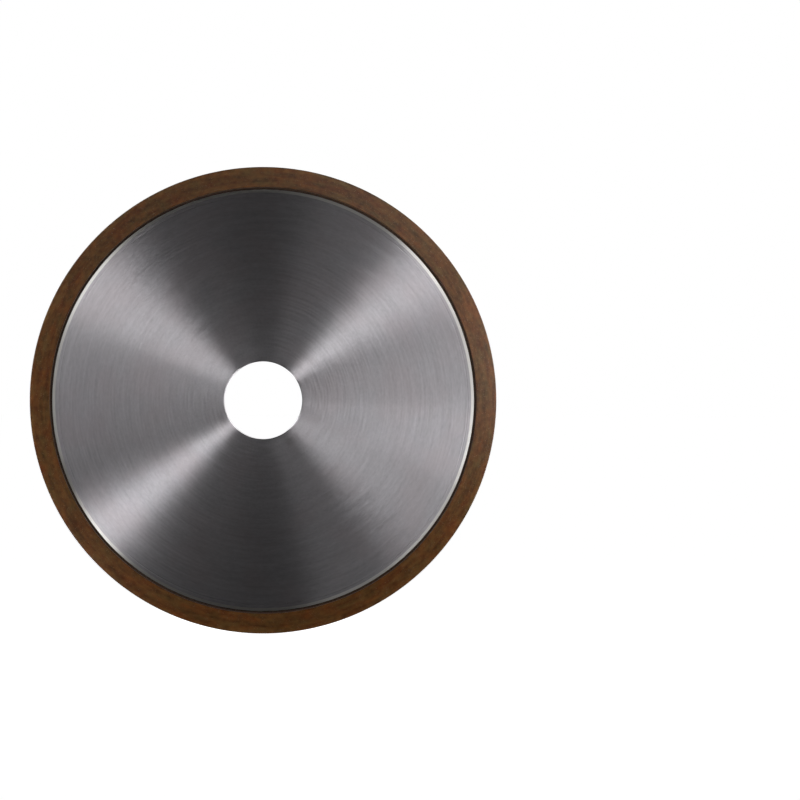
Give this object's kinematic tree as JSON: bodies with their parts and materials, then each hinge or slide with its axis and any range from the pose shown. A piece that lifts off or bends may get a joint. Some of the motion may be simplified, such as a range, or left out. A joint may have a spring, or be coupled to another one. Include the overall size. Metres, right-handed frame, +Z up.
{
  "type": "diamond grinding wheel",
  "caption": "Flat resin-bond diamond grinding wheel: ground steel core with a plain arbor bore, carrying a moulded diamond rim keyed round its edge.",
  "frame": {"origin": "centre of the arbor bore, half-way between the wheel's two faces", "axes": "+Y along the wheel's spin axis, away from the front face; the front face looks along -Y; +Z up"},
  "size_m": [0.1524, 0.0064, 0.1524],
  "materials": {
    "ground_steel": "satin",
    "cured_primer": "matte",
    "filled_phenolic": "matte",
    "diamond_resin": "matte"
  },
  "bodies": {
    "root": {"steel_core": "ground_steel", "bond_film": "cured_primer", "backing_ring": "filled_phenolic", "diamond_rim": "diamond_resin"}
  },
  "joints": []
}
